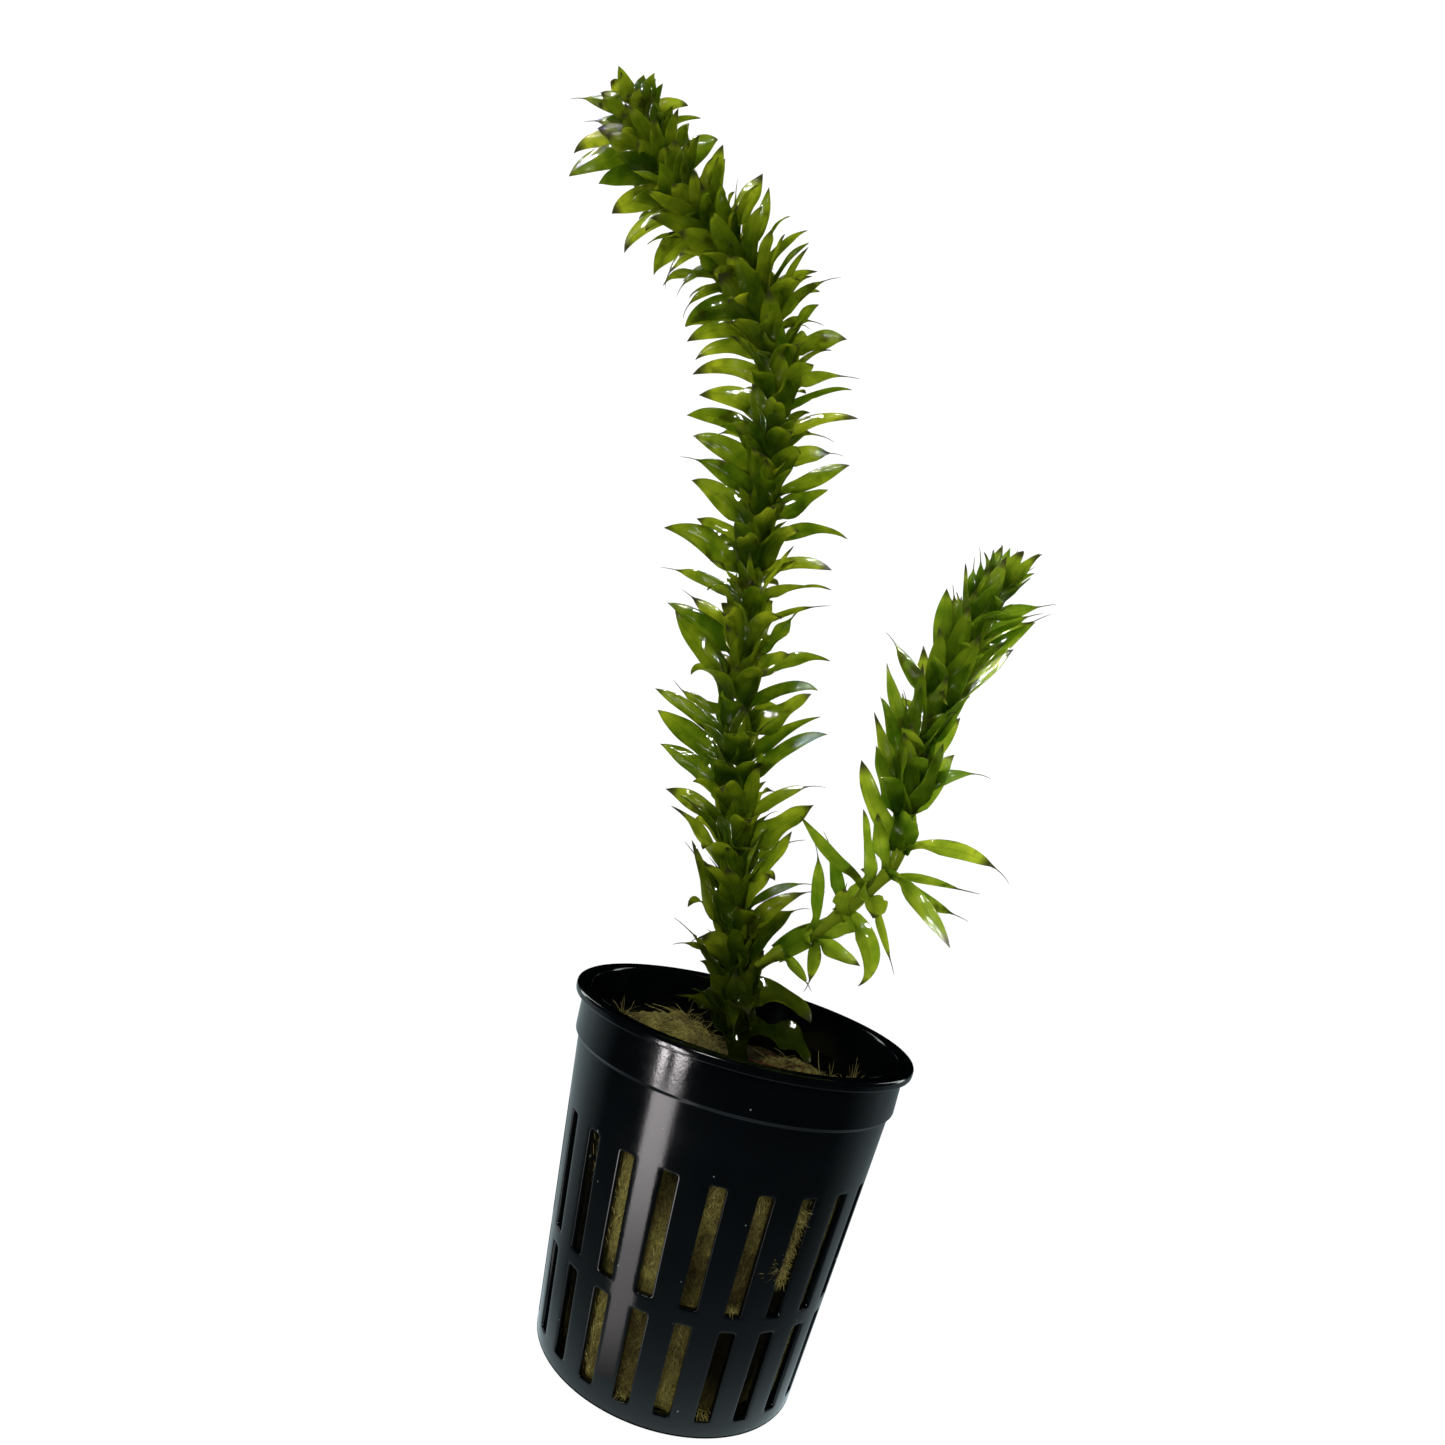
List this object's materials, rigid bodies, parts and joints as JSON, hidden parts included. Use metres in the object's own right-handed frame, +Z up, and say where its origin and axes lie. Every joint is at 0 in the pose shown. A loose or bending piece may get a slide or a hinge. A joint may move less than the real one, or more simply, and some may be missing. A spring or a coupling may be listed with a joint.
{
  "type": "potted aquatic plant",
  "caption": "Leafy anacharis shoot with one side shoot, standing in rock wool in a slotted black net pot.",
  "frame": {"origin": "centre of the pot's base, on the surface that it stands on", "axes": "+Z up, +X to the right in the usual view, -Y is the front"},
  "size_m": [0.0978, 0.052, 0.1936],
  "materials": {
    "pot_plastic": "moulded black polypropylene, satin to glossy",
    "rock_wool": "matted damp mineral fibre, olive yellow",
    "leaf": "wet glossy green leaf, lets light through",
    "young_leaf": "wet glossy yellow-green leaf, lets light through"
  },
  "bodies": {
    "root": {"net_pot": "pot_plastic", "rock_wool": "rock_wool", "main_shoot": "leaf", "side_shoot": "young_leaf"}
  },
  "joints": []
}
